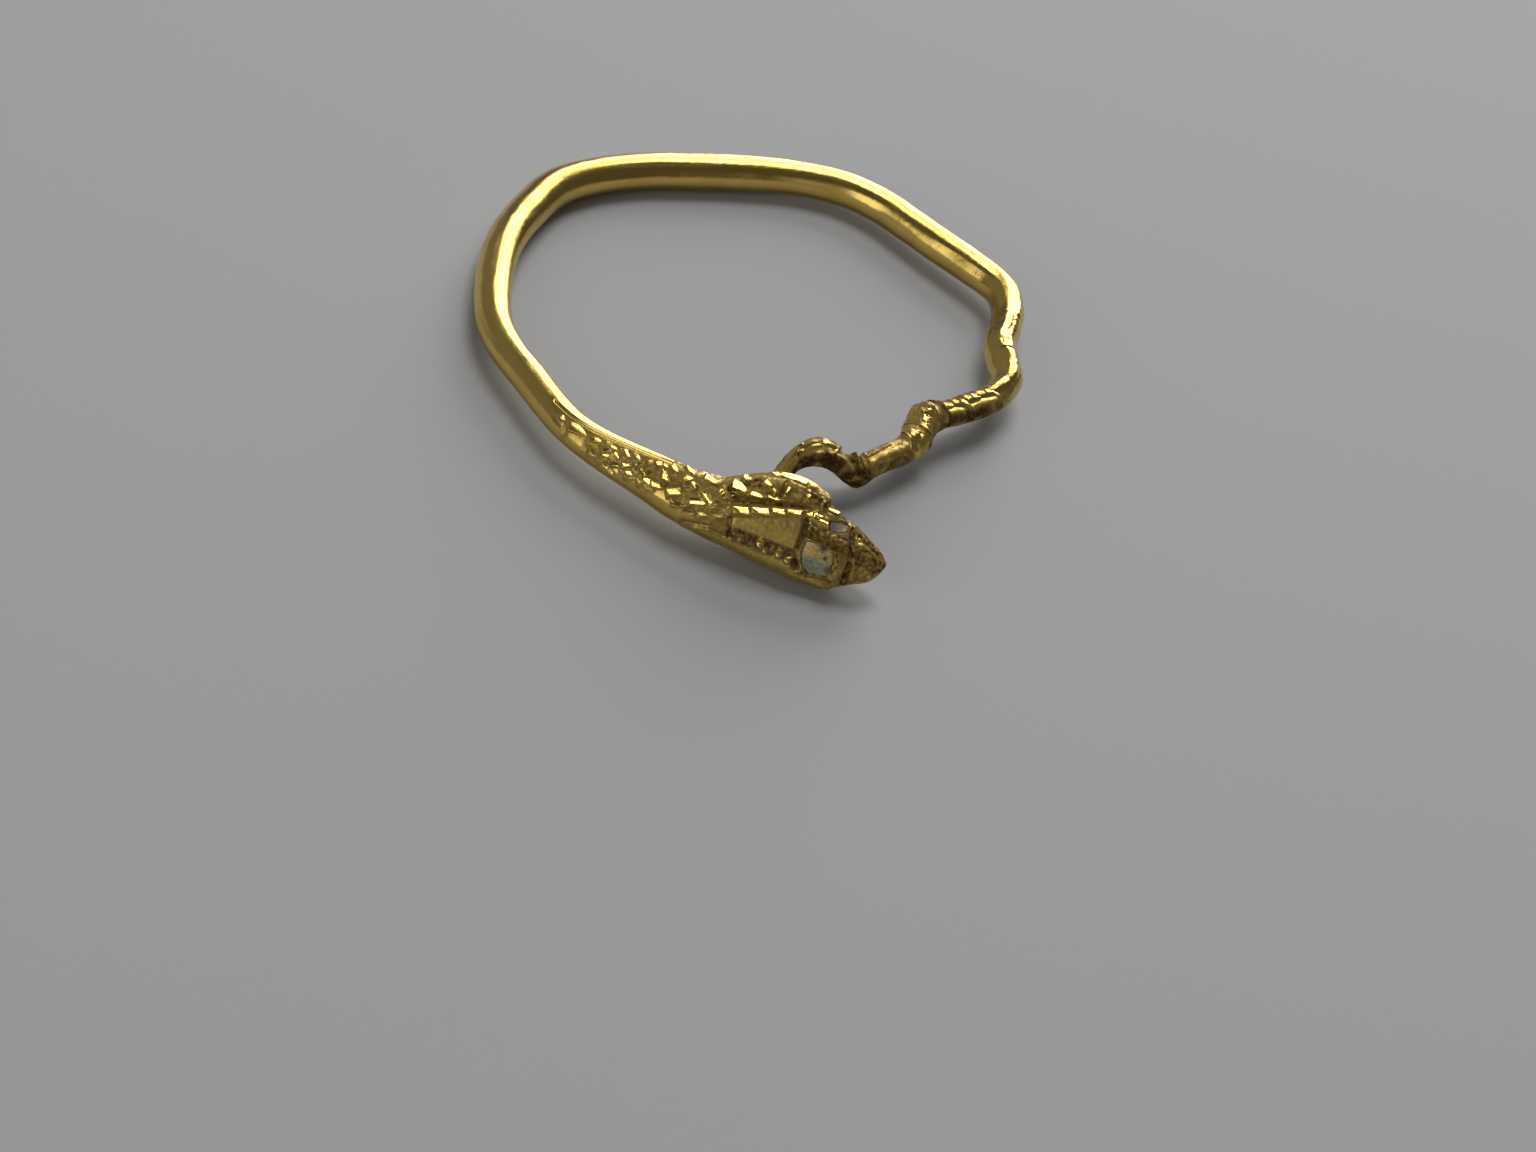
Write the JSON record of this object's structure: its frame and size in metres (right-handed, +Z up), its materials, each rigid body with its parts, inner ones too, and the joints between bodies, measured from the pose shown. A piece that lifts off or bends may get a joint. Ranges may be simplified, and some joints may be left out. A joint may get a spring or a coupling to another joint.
{
  "type": "snake finger ring",
  "caption": "Open gold finger ring in the form of a snake, with a chased head, worn pale eye inlays and a thin bent tail that ends beside the head.",
  "frame": {"origin": "on the floor under the middle of the ring, which lies on its side", "axes": "+Z up from the floor, near the finger's axis; +Y from the snake's head to the far side of the hoop"},
  "size_m": [0.018, 0.0208, 0.0027],
  "materials": {
    "gold": "satin, hand worked",
    "eye_inlay": "worn matt paste"
  },
  "bodies": {
    "root": {"snake_body": "gold", "eye_inlay_lower": "eye_inlay", "eye_inlay_upper": "eye_inlay"}
  },
  "joints": []
}
